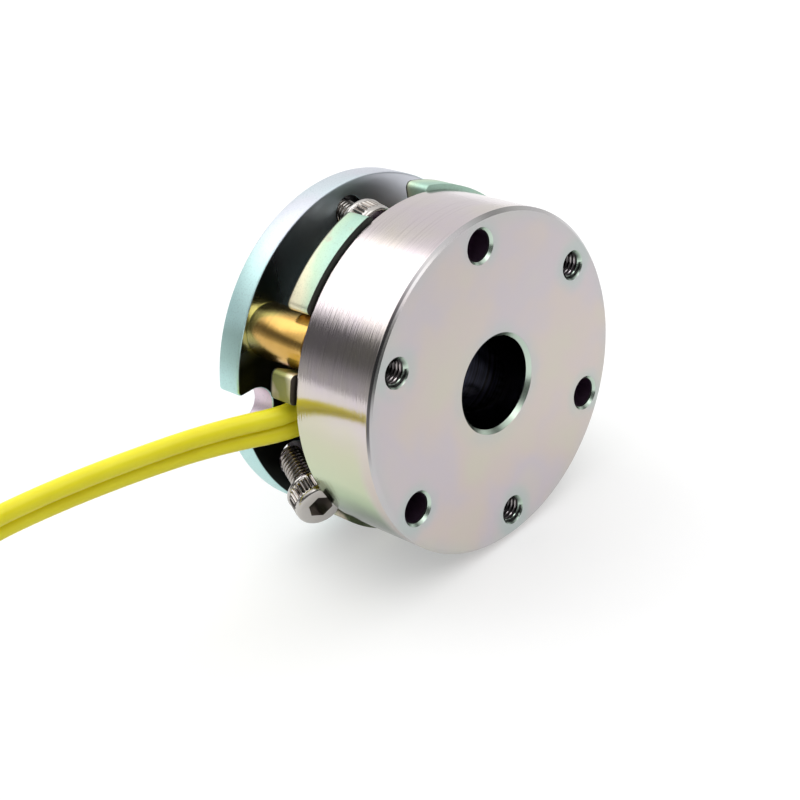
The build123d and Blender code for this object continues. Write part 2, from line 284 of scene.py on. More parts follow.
def drill(piece, angles, *cutters):
    """Cuts the cutters out at each of the holes, one after the other."""
    for degrees in angles:
        for cutter in cutters:
            cut(piece, place(twin(cutter, "hole_cut"), at_hole(degrees)))
    for cutter in cutters:
        bpy.data.objects.remove(cutter, do_unlink=True)


def rim_edge(one, two):
    """Whether two faces' normals are those of a flat end face and a wall."""
    flat = abs(one.z) > 0.99, abs(two.z) > 0.99
    wall = abs(one.z) < 0.1, abs(two.z) < 0.1
    return (flat[0] and wall[1]) or (flat[1] and wall[0])


def soften(piece, width, clamped):
    """Bevels the edges between the flat end faces and the walls. When clamped, the shortest
    of those edges limits the width."""
    chosen(piece)
    bpy.ops.object.mode_set(mode="EDIT")
    bpy.ops.mesh.select_mode(type="EDGE")
    bpy.ops.mesh.select_all(action="SELECT")
    bpy.ops.mesh.dissolve_limited(angle_limit=math.radians(0.5))
    bpy.ops.mesh.select_all(action="DESELECT")
    mesh = bmesh.from_edit_mesh(piece.data)
    for edge in mesh.edges:
        if len(edge.link_faces) == 2:
            one, two = edge.link_faces
            if rim_edge(one.normal, two.normal):
                edge.select_set(True)
    bmesh.update_edit_mesh(piece.data)
    bpy.ops.mesh.bevel(offset=width * mm, segments=3, affect="EDGES", clamp_overlap=clamped)
    bpy.ops.object.mode_set(mode="OBJECT")


def smooth(piece, angle):
    chosen(piece)
    bpy.ops.object.shade_smooth_by_angle(angle=math.radians(angle))


def around(degrees, away):
    """A place on the bench so far from the brake's axis, turned about it."""
    spot = Matrix.Translation((away * mm, 0, 0))
    return Matrix.Rotation(math.radians(degrees), 4, "Z") @ spot


def at_hole(degrees):
    """A hole's place on the bench, not turned."""
    turn = math.radians(degrees)
    return Matrix.Translation((hole_radius * math.cos(turn) * mm, hole_radius * math.sin(turn) * mm, 0))


def off_bench(piece):
    """From the bench into the brake's frame, front face towards -Y."""
    return place(piece, Matrix.Rotation(math.pi / 2, 4, "X"))


def finished(piece, body, node, material, angle=30):
    """Shades the piece, gives it its body and finish, and hides the node that it stands in for."""
    smooth(piece, angle)
    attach(piece, body)
    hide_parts(node)
    piece.data.materials.clear()
    piece.data.materials.append(material)


def threaded_bar(name, low, high, core, outer, sides=48, per_pitch=10):
    """A round bar with a real screw thread, right-handed along +Z."""
    steps = round((high - low) / pitch * per_pitch)
    section = [(outer, low + (high - low) * step / steps) for step in range(steps + 1)]
    bar = turned(name, section, sides, closed=False)
    for vertex in bar.data.vertices:
        x, y, z = vertex.co
        if math.hypot(x, y) > 0.1 * mm:
            turn = math.atan2(y, x)
            phase = (z / mm / pitch - turn / full) % 1.0
            ridge = min(1.0, max(0.0, 1.25 - 2.6 * abs(phase - 0.5)))
            radius = (core + (outer - core) * ridge) / 2 * mm
            vertex.co = (radius * math.cos(turn), radius * math.sin(turn), z)
    return bar


def mark_painted_shade(piece, shade_at):
    """Notes on the bench how much painted shade each point gets, 0 to 1, from where it lies in its piece's
    own form.
    """
    layer = piece.data.attributes.new("deep", "FLOAT", "POINT")
    for vertex, value in zip(piece.data.vertices, layer.data):
        x, y, z = vertex.co
        value.value = shade_at(x / mm, y / mm, z / mm)


def screw_recess_shade(x, y, level):
    """Painted shade in the thread roots, hex socket and the furrows of the knurl of a mounting screw."""
    radius = math.hypot(x, y)
    if level < shank_length:
        return min(0.85, share(radius, 1.49, 1.29))
    if radius < 1.6:
        return 0.35 if level < 8.9 else 0.0
    furrow = knurl_low + 0.03 < level < knurl_high - 0.05
    return min(0.7, share(radius, 2.66, 2.54)) if furrow else 0.0


def sunk_socket_shade(x, y, level):
    """Painted shade on the floor of the hex socket."""
    return 0.95 if 1.0 < level < 1.2 and math.hypot(x, y) < 1.2 else 0.0


def stator_thread_shade(x, y, level):
    """Painted shade on the roots, upper walls and depths of the threads in the front holes."""
    thread_shade = 0.0
    for degrees in collar_angles:
        hole = at_hole(degrees).translation / mm
        away = math.hypot(x - hole.x, y - hole.y)
        if away < 1.58 and level < front_level - 0.2:
            root = share(away, 1.27, 1.39)
            sunk = share(level, front_level - 1, front_level - 2)
            upper = share(y - hole.y, -0.1, 0.4)
            thread_shade = 0.97 * max(root, sunk, upper)
    return thread_shade


def hexagon(across):
    corner = across / math.sqrt(3)
    return [(corner * math.cos(full * k / 6), corner * math.sin(full * k / 6)) for k in range(6)]


# Surfaces

class Wire:
    """A value in a finish: arithmetic on it adds the Math nodes."""

    def __init__(self, finish, socket):
        self.finish = finish
        self.socket = socket

    def maths(self, operation, one, two=0.0):
        return self.finish.node("ShaderNodeMath", {"operation": operation}, {0: one, 1: two})

    def __add__(self, other):
        return self.maths("ADD", self, other)

    def __radd__(self, other):
        return self.maths("ADD", other, self)

    def __sub__(self, other):
        return self.maths("SUBTRACT", self, other)

    def __rsub__(self, other):
        return self.maths("SUBTRACT", other, self)

    def __mul__(self, other):
        return self.maths("MULTIPLY", self, other)

    def __rmul__(self, other):
        return self.maths("MULTIPLY", other, self)

    def __pow__(self, other):
        return self.maths("POWER", self, other)

    def clipped(self):
        return self.finish.node("ShaderNodeClamp", {}, {"Value": self})

    def ramp(self, low, high):
        """0 below low, 1 above high, smooth between."""
        settings = {"interpolation_type": "SMOOTHSTEP"}
        values = {"Value": self, "From Min": low, "From Max": high}
        return self.finish.node("ShaderNodeMapRange", settings, values)


class Finish:
    """One node tree: a material's or the world's."""

    def __init__(self, owner, end):
        owner.use_nodes = True
        self.owner = owner
        self.tree = owner.node_tree
        self.end = self.tree.nodes[end]

    def node(self, kind, settings, values, output=0):
        made = self.tree.nodes.new(kind)
        for name, value in settings.items():
            if name == "stops":
                self.set_stops(made, value)
            else:
                setattr(made, name, value)
        for name, value in values.items():
            self.feed(made.inputs[name], value)
        return Wire(self, made.outputs[output])

    def set_stops(self, made, stops):
        elements = made.color_ramp.elements
        while len(elements) < len(stops):
            elements.new(0.5)
        for element, (position, colour) in zip(elements, stops):
            element.position = position
            element.color = (*colour, 1)

    def feed(self, socket, value):
        if isinstance(value, Wire):
            self.tree.links.new(value.socket, socket)
        elif socket.type == "RGBA" and len(value) == 3:
            socket.default_value = (*value, 1)
        else:
            socket.default_value = value

    def shader(self, **values):
        for name, value in values.items():
            self.feed(self.end.inputs[name.replace("_", " ")], value)

    def place(self):
        """Object coordinates as a vector."""
        return self.node("ShaderNodeTexCoord", {}, {}, "Object")

    def axes(self, vector):
        split = self.node("ShaderNodeSeparateXYZ", {}, {0: vector}).socket.node
        return [Wire(self, socket) for socket in split.outputs]

    def vector(self, x, y, z):
        return self.node("ShaderNodeCombineXYZ", {}, {0: x, 1: y, 2: z})

    def noise(self, vector, scale, detail=2.0, rough=0.5):
        values = {"Vector": vector, "Scale": scale, "Detail": detail, "Roughness": rough}
        return self.node("ShaderNodeTexNoise", {}, values, "Fac")

    def deep(self):
        """How much painted shade the mesh gives the surface, from where it lies in its own form."""
        return self.node("ShaderNodeAttribute", {"attribute_name": "deep"}, {}, "Fac")

    def tint(self, amount, first, second):
        settings = {"data_type": "RGBA"}
        return self.node("ShaderNodeMix", settings, {0: amount, 6: first, 7: second}, 2)

    def stained(self, amount, stops):
        return self.node("ShaderNodeValToRGB", {"stops": stops}, {"Fac": amount}, "Color")

    def relief(self, height, depth, under=None):
        values = {"Strength": 1.0, "Distance": depth, "Height": height}
        if under is not None:
            values["Normal"] = under
        return self.node("ShaderNodeBump", {}, values)


def new_finish(name):
    return Finish(bpy.data.materials.new(name), "Principled BSDF")


def polar_place(made):
    """Place, distance from the brake's axis, and distance from the nearest of the six holes."""
    x, y, z = made.axes(made.place())
    radius = (x * x + z * z) ** 0.5
    turn = x.maths("ARCTAN2", z, x)
    sixth = x.maths("PINGPONG", turn, math.pi / 6)
    off_hole = x.maths("COSINE", math.pi / 6 - sixth)
    stand = hole_radius * mm
    near = (radius * radius + stand**2 - radius * off_hole * (2 * stand)) ** 0.5
    return x, y, z, radius, near


def stator_plating():
    """Zinc plate with a passivation that shimmers from lilac to green and runs to teal round
    holes and edges. Painted shade: olive to near black down on the sides, a darker top left
    and right of the front face, a dark strip on the front chamfer, and dark bore, holes and threads."""
    made = new_finish("stator_steel")
    spot = made.place()
    x, y, z, radius, near = polar_place(made)
    lines = made.noise(made.vector(radius * 8300 + x * 40, y * 8300, z * 40), 1.0, 3.0, 0.65)
    chatter = made.noise(made.vector(x * 450, y * 5200, z * 450), 1.0, 2.0, 0.6)
    patches = made.noise(spot, 75, 2.0, 0.5)
    cloud = made.noise(spot, 210, 3.0, 0.55)
    front = 1 - y.ramp(-0.02202, -0.0219)
    side = (1 - front) * radius.ramp(0.0186, 0.0188)
    face_shimmer = [
        (0.34, (0.600, 0.560, 0.480)),
        (0.44, (0.610, 0.535, 0.505)),
        (0.54, (0.575, 0.520, 0.555)),
        (0.66, (0.590, 0.545, 0.525)),
    ]
    side_shimmer = [
        (0.32, (0.640, 0.585, 0.490)),
        (0.46, (0.620, 0.565, 0.550)),
        (0.56, (0.610, 0.545, 0.570)),
        (0.68, (0.625, 0.570, 0.520)),
    ]
    mixed = patches * 0.7 + cloud * 0.3
    colour = made.tint(side, made.stained(mixed, face_shimmer), made.stained(mixed, side_shimmer))
    # Painted shade: the sides run olive and then near black towards the bottom, for the floor's shade that
    # they mirror, less so near the front edge.
    lower = [
        (0.0, (0.045, 0.07, 0.04)),
        (0.2, (0.12, 0.18, 0.10)),
        (0.42, (0.38, 0.48, 0.30)),
        (0.6, (0.52, 0.58, 0.40)),
        (1.0, (0.56, 0.55, 0.42)),
    ]
    sunk = z + (patches - 0.5) * 0.006
    run = made.node("ShaderNodeMapRange", {}, {"Value": sunk, "From Min": -0.0125, "From Max": 0.001})
    low = (1 - sunk.ramp(-0.0006, 0.0045)) * side * (0.45 + 0.55 * y.ramp(-0.0216, -0.0196))
    colour = made.tint(low, colour, made.stained(run, lower))
    edge = (1 - near.ramp(0.0018, 0.0036)) + radius.ramp(0.0168, 0.019) * 0.5
    edge = edge + (1 - radius.ramp(0.0055, 0.0078)) * 0.7
    edge = (edge * (cloud.ramp(0.3, 0.6) * 0.8 + 0.2) * front).clipped()
    colour = made.tint(edge * 0.7, colour, (0.44, 0.53, 0.51))
    # Painted shade: the front face is darker towards the top left, and a little towards the right.
    shade = z.ramp(-0.02, 0.02) * (1 - x.ramp(-0.01, 0.03)) * front
    colour = made.tint(shade * 0.42, colour, (0.34, 0.32, 0.31))
    colour = made.tint(x.ramp(-0.005, 0.018) * front * 0.16, colour, (0.34, 0.32, 0.31))
    mouth = (1 - near.ramp(0.00202, 0.00206)) + (1 - radius.ramp(0.00562, 0.00566))
    mouth = mouth.clipped() * y.ramp(-0.02239, -0.02236) * (1 - y.ramp(-0.0219, -0.0218))
    colour = made.tint(mouth * 0.8, colour, (0.52, 0.65, 0.54))
    # Painted reflection: a near-black strip on the upper left of the front chamfer, for the dark
    # surroundings it mirrors.
    painted_dark_chamfer = front * radius.ramp(0.01876, 0.01884) * z.ramp(-0.001, 0.004) * (1 - x.ramp(-0.014, -0.004))
    colour = made.tint(painted_dark_chamfer * 0.9, colour, (0.07, 0.065, 0.07))
    rosy = (1 - (y + (cloud - 0.5) * 0.002).ramp(-0.0215, -0.0198)) * side * (1 - z.ramp(-0.004, 0.004))
    colour = made.tint(rosy * 0.7, colour, (0.56, 0.47, 0.44))
    # Painted shade: the bore is painted near black with faint rings, and the plain holes dark purple
    # inside.
    inside = (1 - radius.ramp(0.0182, 0.0186)) * (1 - y.ramp(-0.0121, -0.0118))
    shaded_bore = inside * y.ramp(-0.0220, -0.0217) * (1 - radius.ramp(0.0056, 0.0058))
    shaded_holes = inside * y.ramp(-0.0221, -0.0218) * near.ramp(0.00155, 0.00165) * radius.ramp(0.0058, 0.006)
    rings = made.noise(made.vector(0, y * 2600, 0), 1.0, 2.0, 0.6)
    dark = made.tint(rings.ramp(0.4, 0.65), (0.10, 0.10, 0.14), (0.04, 0.035, 0.03))
    colour = made.tint(shaded_bore, colour, dark)
    colour = made.tint(shaded_holes, colour, (0.24, 0.15, 0.24))
    # Painted shade in the threads of the front holes, as the mesh gives it.
    colour = made.tint(made.deep(), colour, (0.012, 0.012, 0.012))
    scored = made.noise(made.vector(x * 60, y * 3400, z * 60), 1.0, 2.0, 0.6)
    scored = scored.ramp(0.5, 0.75) * side * z.ramp(0.003, 0.01)
    colour = made.tint(scored * 0.16, colour, (0.20, 0.18, 0.18))
    dull = 0.13 + front * 0.12 + (patches - 0.5) * 0.06
    dull = dull + (lines - 0.5) * (0.1 - front * 0.06) + shaded_holes * 0.3
    grain = made.relief(chatter * side, 0.0126 * mm)
    bumps = made.relief(lines * (1 - front * 0.75), 0.001 * mm, grain)
    made.shader(Base_Color=colour, Metallic=1.0, Roughness=dull, Normal=bumps)
    return made.owner


def sanded(made, rough, depth, plain=0.0):
    """Roughness, relief and grain of a pressed and fine-sanded blank, smoother where plain."""
    sand = made.noise(made.place(), 5200, 3.0, 0.7)
    blast = made.noise(made.place(), 1700, 2.0, 0.6)
    height = (sand * 0.6 + blast * 0.4) * (1 - plain)
    return rough + (sand - 0.5) * 0.2 * (1 - plain), made.relief(height, depth * mm), sand


def plate_plating():
    """Pale cyan zinc plate. The friction face towards the armature gets painted shade, dark on
    the left and clearing to the right; the rim gets painted light and shade from top to bottom,
    and the screw holes and bore are painted dark inside."""
    made = new_finish("plate_steel")
    x, y, z, radius, near = polar_place(made)
    patches = made.noise(made.place(), 75, 2.0, 0.5)
    stops = [(0.3, (0.57, 0.83, 0.83)), (0.52, (0.62, 0.85, 0.84)), (0.74, (0.67, 0.69, 0.75))]
    rim = radius.ramp(0.01935, 0.0194)
    face = 1 - y.ramp(-0.00319, -0.00312)
    # Painted light: the rim and the top of the friction face turn from cyan to pale grey towards the top.
    top = z.ramp(0.013, 0.019) * rim + z.ramp(0.011, 0.016) * face
    colour = made.stained(patches * 0.5 + 0.12 + top * 0.4, stops)
    colour = made.tint(y.ramp(-0.0002, -0.0001) * 0.75, colour, (0.50, 0.57, 0.58))
    # Painted shade: the friction face is mid dark on the upper left and near black lower down, clearing to
    # the right; a spot at the upper left by the collar is left unshaded and smoother.
    clear = (x + (patches - 0.5) * 0.006).ramp(-0.014, 0.008)
    smooth_unshaded_spot = (1 - x.ramp(-0.014, -0.009)) * z.ramp(0.006, 0.008)
    colour = made.tint(face * (1 - clear) * (1 - smooth_unshaded_spot), colour, (0.40, 0.49, 0.52))
    colour = made.tint(face * (1 - z.ramp(0.005, 0.009)) * (1 - clear), colour, (0.02, 0.022, 0.02))
    # Painted shade: the walls of the screw holes and the bore are painted near black.
    wall = (1 - near.ramp(0.00192, 0.00196)) + (1 - radius.ramp(0.0061, 0.0062))
    colour = made.tint(wall.clipped(), colour, (0.02, 0.011, 0.014))
    notch = (1 - radius.ramp(0.0186, 0.019)) * radius.ramp(0.0148, 0.0149) * (1 - x.ramp(-0.0146, -0.0144))
    notch = notch * y.ramp(-0.0031, -0.003) * (1 - y.ramp(-0.0002, -0.0001))
    colour = made.tint(notch, colour, (0.74, 0.62, 0.70))
    # Painted shade: a darker teal band on the rim above the middle, and a slightly duller cyan on its lower
    # half.
    painted_dark_band = rim * z.ramp(0.003, 0.0065) * (1 - z.ramp(0.0085, 0.0105))
    colour = made.tint(painted_dark_band * 0.6, colour, (0.34, 0.50, 0.46))
    colour = made.tint(rim * (1 - z.ramp(0.001, 0.006)) * 0.6, colour, (0.50, 0.73, 0.71))
    dull, bumps, sand = sanded(made, 0.48, 0.012, face * 0.85)
    dull = dull - face * (0.1 + 0.24 * smooth_unshaded_spot)
    colour = made.tint(sand.ramp(0.5, 0.72) * 0.3 * (1 - face), colour, (0.30, 0.41, 0.42))
    made.shader(Base_Color=colour, Metallic=1.0, Roughness=dull, Normal=bumps)
    return made.owner


def armature_plating():
    """Passivated blank: mint at the top, through cream to olive gold lower down and towards the
    plate. Painted shade: the olive stretch is darkened to near black, the rear face is near black
    and the left half of the front face is dark, where the gaps to plate and stator lie."""
    made = new_finish("armature_steel")
    x, y, z = made.axes(made.place())
    patches = made.noise(made.place(), 190, 2.0, 0.55)
    run = made.node("ShaderNodeMapRange", {}, {"Value": z, "From Min": -0.0195, "From Max": 0.0195})
    # Partly the plating's colours, partly painted shade: the olive stretch from low down to a little above
    # the middle is painted dark, down to near black.
    stops = [
        (0.0, (0.46, 0.50, 0.38)),
        (0.13, (0.40, 0.44, 0.32)),
        (0.22, (0.07, 0.09, 0.05)),
        (0.56, (0.21, 0.22, 0.07)),
        (0.68, (0.32, 0.32, 0.12)),
        (0.74, (0.86, 0.80, 0.60)),
        (0.83, (0.84, 0.82, 0.61)),
        (0.90, (0.56, 0.72, 0.55)),
        (1.0, (0.45, 0.64, 0.54)),
    ]
    colour = made.stained(run - (y + 0.0099) * 60 + (patches - 0.5) * 0.16, stops)
    rosy = made.noise(made.place(), 330, 2.0, 0.5).ramp(0.58, 0.72) * 0.55
    colour = made.tint(rosy, colour, (0.62, 0.50, 0.42))
    # Painted shade: the rear face, towards the plate, is painted near black.
    rear = y.ramp(-0.0087, -0.00845)
    front = 1 - y.ramp(-0.01139, -0.0113)
    colour = made.tint(rear, colour, (0.02, 0.02, 0.018))
    # Painted shade: the left half of the front face, by the gap to the stator, is painted dark.
    left = front * (1 - x.ramp(0, 0.004)) * z.ramp(-0.013, -0.01)
    colour = made.tint(left * 0.9, colour, (0.05, 0.038, 0.042))
    dull, bumps, sand = sanded(made, 0.52, 0.008)
    colour = made.tint(sand.ramp(0.5, 0.72) * 0.22, colour, (0.24, 0.27, 0.17))
    made.shader(Base_Color=colour, Metallic=1.0, Roughness=dull, Normal=bumps)
    return made.owner


stator_steel = stator_plating()
plate_steel = plate_plating()
armature_steel = armature_plating()


def turned_metal(name, colour, darker, rough, line_pitch, depth, recess_shade_colour=None):
    """Bright turned metal with lines round each piece and a little tarnish. Where the mesh asks for
    it, in thread roots, knurl and hex socket, shade is painted in the given colour."""
    made = new_finish(name)
    spot = made.place()
    x, y, z = made.axes(spot)
    lines = made.noise(made.vector(x * 30, y * (1000 / line_pitch), z * 30), 1.0, 3.0, 0.6)
    stain = made.noise(spot, 240, 3.0, 0.55)
    shown = made.tint(stain.ramp(0.45, 0.8) * 0.7, colour, darker)
    if recess_shade_colour is not None:
        shown = made.tint(made.deep(), shown, recess_shade_colour)
    made.shader(
        Base_Color=shown,
        Metallic=1.0,
        Roughness=rough + (lines - 0.5) * 0.16 + (stain - 0.5) * 0.1,
        Normal=made.relief(lines, depth * mm),
    )
    return made.owner


brass = turned_metal("brass", (0.60, 0.37, 0.105), (0.46, 0.26, 0.06), 0.21, 0.12, 0.012)
screw_steel = turned_metal(
    "screw_steel", (0.50, 0.48, 0.46), (0.40, 0.37, 0.34), 0.18, 0.2, 0.001, (0.13, 0.095, 0.07)
)
carrier_steel = turned_metal("carrier_steel", (0.50, 0.51, 0.53), (0.36, 0.37, 0.38), 0.34, 0.12, 0.003)


def cast(name, colour, darker, rough, grain_size, depth):
    """Moulded, cast or pressed material with a fine grain."""
    made = new_finish(name)
    spot = made.place()
    grain = made.noise(spot, 1000 / grain_size, 4.0, 0.6)
    cloud = made.noise(spot, 150, 2.0, 0.5)
    made.shader(
        Base_Color=made.tint((grain * 0.6 + cloud * 0.4).ramp(0.3, 0.7), colour, darker),
        Roughness=rough + (grain - 0.5) * 0.15,
        Normal=made.relief(grain, depth * mm),
    )
    return made.owner


lining = cast("lining", (0.055, 0.045, 0.038), (0.025, 0.022, 0.02), 0.85, 0.25, 0.02)
bobbin_plastic = cast("bobbin_plastic", (0.02, 0.02, 0.022), (0.012, 0.012, 0.013), 0.5, 0.3, 0.004)
potting_resin = cast("potting_resin", (0.012, 0.012, 0.013), (0.006, 0.006, 0.007), 0.22, 1.2, 0.01)


def insulation():
    """Soft yellow insulation with a satin skin."""
    made = new_finish("lead_insulation")
    spot = made.place()
    cloud = made.noise(spot, 160, 2.0, 0.5)
    skin = made.noise(spot, 2200, 2.0, 0.5)
    made.shader(
        Base_Color=made.tint(cloud.ramp(0.3, 0.75), (0.97, 0.88, 0.03), (0.92, 0.82, 0.018)),
        Roughness=0.38 + (skin - 0.5) * 0.12,
        Normal=made.relief(skin, 0.004 * mm),
        Specular_IOR_Level=0.35,
        Subsurface_Weight=0.15,
        Subsurface_Radius=(1.0, 0.8, 0.1),
        Subsurface_Scale=0.0008,
    )
    return made.owner


lead_insulation = insulation()


def copper_winding():
    """Enamelled wire wound tight: fine rings along the coil."""
    made = new_finish("winding_wire")
    settings = {"wave_type": "BANDS", "bands_direction": "Y", "wave_profile": "SIN"}
    rings = made.node("ShaderNodeTexWave", settings, {"Vector": made.place(), "Scale": 1600})
    made.shader(
        Base_Color=made.tint(rings, (0.30, 0.10, 0.035), (0.66, 0.27, 0.11)),
        Metallic=0.8,
        Roughness=0.3,
        Normal=made.relief(rings, 0.05 * mm),
    )
    return made.owner


winding_wire = copper_winding()

for piece in (upper_lead, lower_lead):
    piece.data.materials.append(lead_insulation)


# Stator: a turned cup with bore, three plain holes and three threaded ones
stator = turned(
    "stator",
    [
        (stator_bore, collar_top),
        (groove_inner, collar_top),
        (groove_inner, collar_top + groove_depth),
        (groove_outer, collar_top + groove_depth),
        (groove_outer, collar_top),
        (stator_diameter - 2 * rear_break, collar_top),
        (stator_diameter, collar_top + rear_break),
        (stator_diameter, front_level - front_break),
        (stator_diameter - 2 * front_break, front_level),
        (stator_bore + 2 * bore_break, front_level),
        (stator_bore, front_level - bore_break),
    ],
    160,
)
key_hole = turned(
    "key_hole",
    [
        (key_hole_diameter + 2.8, collar_top - 1),
        (key_hole_diameter, collar_top + 0.4),
        (key_hole_diameter, front_level - 0.3),
        (key_hole_diameter + 2.6, front_level + 1),
    ],
    48,
    closed=False,
)
clamp_section = [
    (thread_outer + 0.1, collar_top - 1),
    (thread_outer + 0.1, thread_end - 0.1),
    (thread_core, thread_end + 0.2),
]
clamp_hole = turned("clamp_hole", clamp_section, 48, closed=False)
thread_plug = threaded_bar("thread_plug", thread_end, front_level + 0.2, thread_core, thread_outer)
mouth = turned("mouth", [(2.4, front_level - 0.5), (5.3, front_level + 0.95)], 48, closed=False)
drill(stator, mounting_angles, key_hole)
drill(stator, collar_angles, clamp_hole, thread_plug, mouth)
mark_painted_shade(stator, stator_thread_shade)
off_bench(stator)
finished(stator, "brake_body", "stator_housing", stator_steel)


def slot_outline(width, floor_radius, rim, lip, reach=25.0, arc=24):
    """A slot open at the rim: round floor, straight walls and rounded lips."""
    half = width / 2
    centre = floor_radius + half
    points = []
    for step in range(arc + 1):
        turn = math.pi / 2 + math.pi * step / arc
        points.append((centre + half * math.cos(turn), half * math.sin(turn)))
    side = []
    lip_y = half + lip
    lip_x = math.sqrt((rim - lip) ** 2 - lip_y**2)
    end = math.atan2(lip_y, lip_x)
    for step in range(7):
        turn = -math.pi / 2 + (end + math.pi / 2) * step / 6
        side.append((lip_x + lip * math.cos(turn), lip_y + lip * math.sin(turn)))
    side.append((reach * math.cos(end), reach * math.sin(end)))
    points += [(x, -y) for x, y in side]
    points += side[::-1]
    return points


# Armature disc between plate and stator
armature = turned(
    "armature_disc",
    [
        (armature_bore, armature_low),
        (plate_diameter, armature_low),
        (plate_diameter, armature_high),
        (armature_bore, armature_high),
    ],
    128,
)
low = armature_low - 1
high = armature_high + 1
# Angle, width and floor radius of each slot that is open at the rim
slots = [(degrees, 6.2, hole_radius - 3.1) for degrees in collar_angles]
slots += [(degrees, 8.0, hole_radius - 4.0) for degrees in mounting_angles]
slots.append((lead_angle, 6.8, 10.5))
for degrees, width, floor_radius in slots:
    slot = profile_bar("slot", slot_outline(width, floor_radius, rim_radius, 0.7), low, high)
    cut(armature, place(slot, around(degrees, 0)))
relief = turned("relief", [(8.4, low), (8.4, high)], 64, closed=False)
cut(armature, place(relief, around(195, 17.6)))
soften(armature, 0.22, clamped=True)
off_bench(armature)
finished(armature, "armature", "armature", armature_steel, 40)

# Mounting plate
plate = turned(
    "plate",
    [
        (plate_bore, 0),
        (plate_diameter, 0),
        (plate_diameter, plate_thickness),
        (plate_bore, plate_thickness),
    ],
    160,
)
notch = profile_bar("notch", slot_outline(4.6, 15.1, rim_radius, 0.5), -1, plate_thickness + 1)
cut(plate, place(notch, around(lead_angle, 0)))
soften(plate, 0.25, clamped=False)
sink = turned(
    "sink",
    [(7.8, -1), (collar_hole, 1.3), (collar_hole, plate_thickness + 1)],
    48,
    closed=False,
)
through = turned(
    "through",
    [(6.0, -1), (3.8, 0.1), (3.8, plate_thickness - 0.1), (6.0, plate_thickness + 1)],
    48,
    closed=False,
)
drill(plate, collar_angles, sink)
drill(plate, mounting_angles, through)
off_bench(plate)
finished(plate, "brake_body", "mounting_plate", plate_steel, 40)

# Brass collars
collar = turned(
    "collar",
    [
        (collar_hole, plate_thickness),
        (collar_diameter - 0.4, plate_thickness),
        (collar_diameter - 0.12, plate_thickness + 0.06),
        (collar_diameter, plate_thickness + 0.2),
        (collar_diameter, collar_top - 0.2),
        (collar_diameter - 0.12, collar_top - 0.06),
        (collar_diameter - 0.4, collar_top),
        (collar_hole, collar_top),
    ],
    72,
)
for degrees, side in zip(collar_angles, ("right", "left", "bottom")):
    piece = off_bench(place(twin(collar, "collar_" + side), at_hole(degrees)))
    finished(piece, "brake_body", "spacer_collar_" + side, brass)
bpy.data.objects.remove(collar, do_unlink=True)

# Countersunk screws that clamp the stack, seen in the plate's rear face
sunk_screw = turned(
    "sunk_screw",
    [(4.9, 0.1), (5.5, 0.16), (5.5, 0.3), (3.0, 1.45), (3.0, 15.0), (3.0, 17.9), (2.5, 18.1)],
    64,
    closed=False,
)
cut(sunk_screw, profile_bar("key", hexagon(2.0), -0.2, 1.1))
mark_painted_shade(sunk_screw, sunk_socket_shade)
sunk_screws = []
for degrees in collar_angles:
    sunk_screws.append(place(twin(sunk_screw, "sunk_screw_copy"), at_hole(degrees)))
bpy.data.objects.remove(sunk_screw, do_unlink=True)
sunk_set = off_bench(joined("sunk_screws", sunk_screws))
finished(sunk_set, "brake_body", "assembly_screws", screw_steel)

# Captive mounting screws: thread, knurled head and hex socket
shank = threaded_bar("shank", 0.35, shank_length + 0.05, 2.42, 2.98)
tip = turned("tip", [(1.9, 0.0), (2.42, 0.36)], 48, closed=False)
ridges = 36
furrow_depth = 0.16
lip = [(4.7, 6.0), (5.2, 6.03), (5.42, 6.12), (5.5, 6.26), (5.46, 6.42), (5.3, 6.52)]
knurl = [(5.34, level) for level in (6.6, 6.74, 7.2, 7.8, 8.16, 8.3)]
crown = [(5.3, 8.44), (5.26, 8.6), (5.12, 8.78), (4.86, 8.93), (4.5, 9.0)]
head = turned("head", lip + knurl + crown, ridges * 6, closed=False)
for vertex in head.data.vertices:
    x, y, z = vertex.co
    level = z / mm
    radius = math.hypot(x, y) / mm
    if radius > 2.6 and knurl_low < level < knurl_high:
        turn = math.atan2(y, x)
        wave = 0.5 + 0.5 * math.cos(turn * ridges)
        fade = share(level, knurl_high, knurl_high - 0.15) * share(level, knurl_low, knurl_low + 0.12)
        sunk = 1 - furrow_depth * (1 - wave) ** 0.8 * fade / radius
        vertex.co = (x * sunk, y * sunk, z)
socket = profile_bar("socket", hexagon(2.5), 7.4, 10)
cut(head, socket)
screw = joined("screw", [head, shank, tip])
mark_painted_shade(screw, screw_recess_shade)

# Side, hole, tilt, way of the lean, how far the tip reaches past the point that the screw
# hangs on, that point's offset in the hole and its level, and the head's own turn
hangs = [
    ("top", 90, 10.5, 201.0, 3.0, (-0.21, -0.14), 2.95, 10.0),
    ("left", 210, 26.0, 215.7, 0.57, (-0.17, 0.04), 2.95, 41.0),
    ("right", 330, 0.0, 0.0, 2.2, (0.0, 0.0), plate_thickness, 0.0),
]
for side, degrees, tilt, lean, reach, offset, depth, turn in hangs:
    hang = at_hole(degrees) @ Matrix.Translation((offset[0] * mm, offset[1] * mm, depth * mm))
    swing = Matrix.Rotation(math.radians(lean), 4, "Z") @ Matrix.Rotation(math.radians(tilt), 4, "Y")
    swing = swing @ Matrix.Rotation(math.radians(turn - lean), 4, "Z")
    back = Matrix.Translation((0, 0, -reach * mm))
    piece = off_bench(place(twin(screw, "screw_" + side), hang @ swing @ back))
    finished(piece, side + "_screw", "mounting_screw_" + side, screw_steel)
bpy.data.objects.remove(screw, do_unlink=True)

